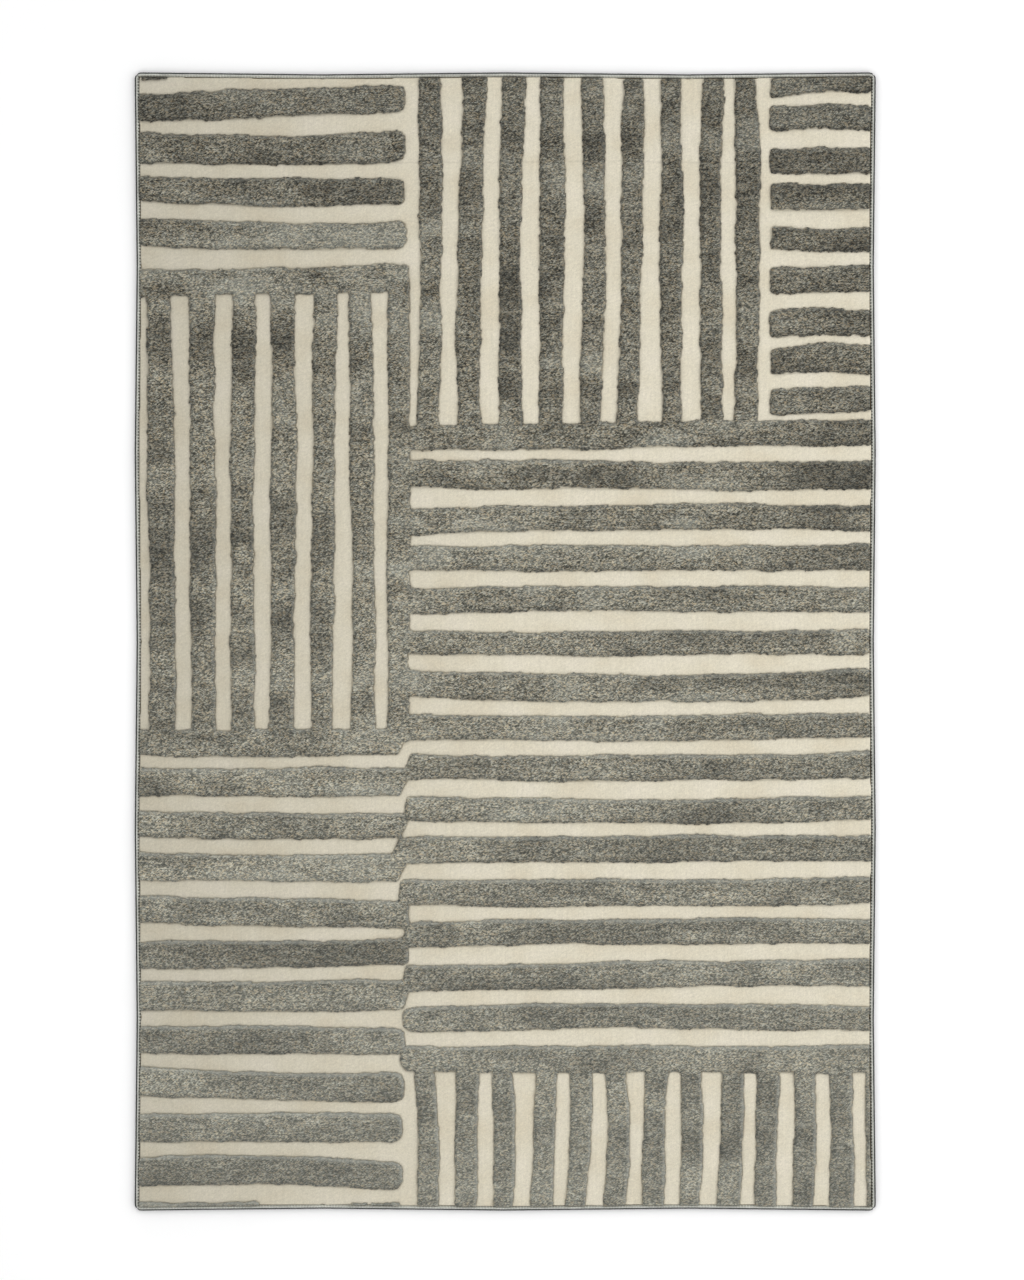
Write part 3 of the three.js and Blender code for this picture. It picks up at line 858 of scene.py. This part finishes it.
    def finish(self, colour, roughness, normal, sheen=0.0):
        """Wires the shader up, and gives the finished material."""
        self.link(colour, self.shader.inputs["Base Color"])
        self.link(roughness, self.shader.inputs["Roughness"])
        self.link(normal, self.shader.inputs["Normal"])
        self.shader.inputs["Specular IOR Level"].default_value = YARN_SPECULAR
        self.shader.inputs["Sheen Weight"].default_value = sheen
        self.shader.inputs["Sheen Roughness"].default_value = SHEEN_ROUGHNESS
        return self.material


def dark_pile_material():
    """Heathered yarn: dark, mid, light and beige flecks, brushed into patches that painted sheen makes
    lighter and darker, with painted shade and painted highlight on the stripes' edges.
    """
    n = Nodes("dark_pile_yarn")
    fleck, hue, middle = n.flecks(3.8, 1.7, 30)
    cross, _, _ = n.flecks(3.6, 1.6, -20)
    wisp = n.noise(14, 4, 8, detail=3, roughness=0.6, distortion=0.6)
    rows = n.noise(50, 3.2, detail=1)
    heather = n.dyed(
        n.weighed((fleck, 0.4), (cross, 0.32), (wisp, 0.1), (rows, 0.28)),
        (0.2, (28, 26, 20)), (0.36, (71, 70, 60)), (0.5, (116, 114, 103)),
        (0.65, (163, 161, 147)), (0.79, (217, 211, 190)),
    )
    beige = n.math("MULTIPLY", n.ranged(cross, 0.82, 0.88), 0.6)
    heather = n.mix(beige, heather, srgb(182, 163, 130))
    tint = n.ramp(hue, (0.1, (0.95, 1.0, 1.05, 1)), (0.5, (1, 1, 1, 1)), (0.9, (1.05, 1.0, 0.91, 1)))
    heather = n.times(heather, tint)
    # The flecks show less where the brushed pile's painted sheen is pale, and less towards the foot
    near_head = n.ranged(n.along("Y"), *NEAR_HEAD)
    calm = n.ranged(n.attribute("marks"), -0.2, 2.2, 0.0, 0.5)
    calm = n.math("MAXIMUM", calm, n.ranged(near_head, 0.0, 1.0, 0.5, 0.0))
    heather = n.mix(calm, heather, srgb(117, 119, 112))
    # Painted sheen: the brushed pile's tone, paler and darker in patches
    colour = n.times(heather, n.attribute("tone"))
    # Painted shade on one side of each stripe, and a painted highlight on the other
    side = n.attribute("side")
    deepest = n.ranged(near_head, 0.0, 1.0, 0.78, 0.62)
    colour = n.times(colour, n.ranged(side, -0.95, 0.0, deepest, 1.0))
    pale = n.math("MULTIPLY", n.ranged(side, 0.12, 0.8), n.ranged(near_head, 0.1, 1.0, 0.46, 0.1))
    colour = n.mix(pale, colour, srgb(160, 162, 154))
    normal = n.bump(n.weighed((fleck, 0.4), (middle, -0.6)), 0.8 * MM, 0.7)
    return n.finish(colour, n.ranged(wisp, 0.3, 0.7, 0.82, 0.98), normal, 0.12)


def cream_pile_material():
    """Soft even yarn, with faint ribs along the rug, fine fibres and slow warm patches."""
    n = Nodes("cream_pile_yarn")
    fibre = n.noise(2.6, 1.8, 60, detail=2, roughness=0.6)
    patch = n.noise(110, 80, detail=3, roughness=0.55)
    ribs = n.noise(4.2, 110, detail=1)
    grain = n.noise(9, 4.5, 20, detail=3, roughness=0.7)
    base = n.dyed(patch, (0.3, (206, 197, 175)), (0.5, (211, 204, 184)), (0.7, (215, 208, 190)))
    fibres = n.ranged(fibre, 0.3, 0.7, 0.88, 1.08)
    grains = n.ranged(grain, 0.3, 0.7, 0.93, 1.07)
    lines = n.ranged(ribs, 0.35, 0.65, 0.975, 1.015)
    colour = n.times(base, n.math("MULTIPLY", n.math("MULTIPLY", fibres, grains), lines))
    # Painted shadow on the cream beside the stripes' shaded edges, and painted shade along the fold line
    shaded = n.ranged(n.attribute("side"), -1.0, -0.3, 0.86, 1.0)
    # Painted shade, deeper towards the left where less light falls
    across = n.ranged(n.along("X"), CREAM_SHADE_TO, 0.0, CREAM_LIT_AT_LEFT, 1.0)
    colour = n.times(colour, n.math("MULTIPLY", shaded, across))
    normal = n.bump(n.weighed((fibre, 0.7), (ribs, 0.5)), 0.35 * MM, 0.6)
    return n.finish(colour, n.ranged(fibre, 0.3, 0.7, 0.86, 0.96), normal, 0.1)


def edge_material():
    """Close-wound yarn, with painted shade on the roll's outer side and a painted highlight along its
    crest, pale on the inner side, with painted shade between wraps, uneven from wrap to wrap.
    """
    n = Nodes("edge_yarn")
    twist = n.noise(3, 2, 30, detail=2, roughness=0.6)
    worn = n.noise(45, 45, detail=3, roughness=0.6)
    across = n.attribute("across")
    # Painted shade on the roll's outer flank and a painted highlight along its crest
    strands_with_painted_light = n.dyed(
        across,
        (0.14, (28, 28, 28)), (0.36, (54, 55, 53)), (0.44, (208, 210, 202)),
        (0.62, (202, 204, 195)), (0.71, (190, 190, 178)), (0.95, (194, 194, 182)),
    )
    # Painted shade in the gaps between the wraps
    gaps = n.ranged(n.attribute("ridge"), 0.3, 0.95, 0.45, 1.0)
    uneven = n.ranged(n.math("ADD", twist, worn), 0.75, 1.25, 0.68, 1.14)
    inner = n.ranged(across, 0.64, 0.74)
    stitches = n.math("SUBTRACT", 1.0, n.math("MULTIPLY", inner, n.attribute("stitch")))
    shade = n.math("MULTIPLY", n.math("MULTIPLY", gaps, uneven), stitches)
    colour = n.times(strands_with_painted_light, shade)
    normal = n.bump(twist, 0.3 * MM, 0.6)
    return n.finish(colour, n.ranged(twist, 0.3, 0.7, 0.62, 0.85), normal, 0.1)


def threads(n, repeat):
    """The overs and unders of a plain weave, from -1 to 1, in a pattern that repeats at this length."""
    turns = 2 * math.pi / repeat
    warp, weft = (n.math("SINE", n.math("MULTIPLY", n.along(axis), turns)) for axis in ("X", "Y"))
    return n.math("MULTIPLY", warp, weft)


def weave_material():
    """Plain weave of tan warp and weft."""
    n = Nodes("backing_weave")
    over = threads(n, 2.6 * MM)
    slub = n.noise(3.3, 42, detail=2, roughness=0.6)
    both = n.weighed((over, 0.25), (slub, 1.0))
    colour = n.dyed(both, (0.3, (122, 100, 68)), (0.55, (168, 144, 104)), (0.8, (196, 174, 134)))
    normal = n.bump(over, 0.5 * MM, 0.8)
    return n.finish(colour, n.ranged(slub, 0.3, 0.7, 0.85, 0.97), normal)


def latex_material():
    """Thin cured latex with the weave showing through it."""
    n = Nodes("latex_skin")
    over = threads(n, 5.2 * MM)
    blotch = n.noise(30, 30, detail=4, roughness=0.6)
    both = n.weighed((over, 0.08), (blotch, 1.0))
    colour = n.dyed(both, (0.3, (168, 154, 124)), (0.6, (196, 184, 156)), (0.8, (208, 198, 174)))
    normal = n.bump(n.weighed((over, 0.5), (blotch, 1.0)), 0.4 * MM, 0.6)
    return n.finish(colour, n.ranged(blotch, 0.3, 0.7, 0.6, 0.85), normal)


def floor_material():
    """Nearly white, with a slight slow change."""
    n = Nodes("studio_floor")
    colour = n.ramp(n.noise(330, 330), (0.3, (0.95, 0.95, 0.95, 1)), (0.7, (0.97, 0.97, 0.97, 1)))
    n.link(colour, n.shader.inputs["Base Color"])
    n.shader.inputs["Roughness"].default_value = 0.9
    n.shader.inputs["Specular IOR Level"].default_value = 0.1
    return n.material


# ---------------------------------------------------------------- the studio


def make_camera():
    """The camera straight above the rug, a little off its middle as the photograph's is."""
    data = bpy.data.cameras.new("camera")
    data.lens, data.sensor_width = LENS, SENSOR
    camera = bpy.data.objects.new("camera", data)
    picture_height = PICTURE_OVER_RUG * (RUG_HIGH.y - RUG_LOW.y)
    camera.location = (*CAMERA_OFFSET, DARK_HIGH + picture_height * LENS / SENSOR)
    data.clip_end = CAMERA_SIGHT
    bpy.context.scene.collection.objects.link(camera)
    bpy.context.scene.camera = camera


def add_light(name, place, size, power):
    """A soft rectangular lamp that faces the rug's middle."""
    data = bpy.data.lights.new(name, "AREA")
    data.shape = "RECTANGLE"
    (data.size, data.size_y), data.energy = size, power
    light = bpy.data.objects.new(name, data)
    light.location = place
    light.rotation_mode = "QUATERNION"
    light.rotation_quaternion = (-light.location).to_track_quat("-Z", "Y")
    bpy.context.scene.collection.objects.link(light)


def make_sky():
    """Even white walls all round that are dimmer overhead, so that the rug has a soft shadow all round."""
    world = bpy.data.worlds.new("studio")
    world.use_nodes = True
    tree = world.node_tree
    direction = tree.nodes.new("ShaderNodeTexCoord").outputs["Generated"]
    height = tree.nodes.new("ShaderNodeSeparateXYZ")
    tree.links.new(direction, height.inputs["Vector"])
    fall = tree.nodes.new("ShaderNodeMapRange")
    tree.links.new(height.outputs["Z"], fall.inputs["Value"])
    fall.inputs["From Min"].default_value = WALL_TOP
    fall.inputs["From Max"].default_value = CEILING_FROM
    fall.inputs["To Min"].default_value = WALL_LIGHT
    fall.inputs["To Max"].default_value = CEILING_LIGHT
    background = tree.nodes["Background"]
    tree.links.new(fall.outputs["Result"], background.inputs["Strength"])
    background.inputs["Color"].default_value = (1, 1, 1, 1)
    bpy.context.scene.world = world


def make_studio():
    """The sky, the lamps and the floor."""
    make_sky()
    for name, (place, size, power) in LAMPS.items():
        add_light(name, place, size, power)
    bpy.context.scene.view_settings.view_transform = "Standard"
    bpy.ops.mesh.primitive_plane_add(size=FLOOR_SIZE)
    floor = bpy.context.object
    floor.name = "studio_floor"
    floor.data.materials.append(floor_material())


make_camera()
make_studio()
pile = make_pile(dark_pile_material(), cream_pile_material())
yarn, path = edge_material(), EdgePath()
edges = [edge_piece(name, path, yarn) for name in STITCH_SHADE]
latex = layer_piece("latex_skin", "latex_coat", latex_material())
backing = layer_piece("backing_cloth", "woven_backing", weave_material())
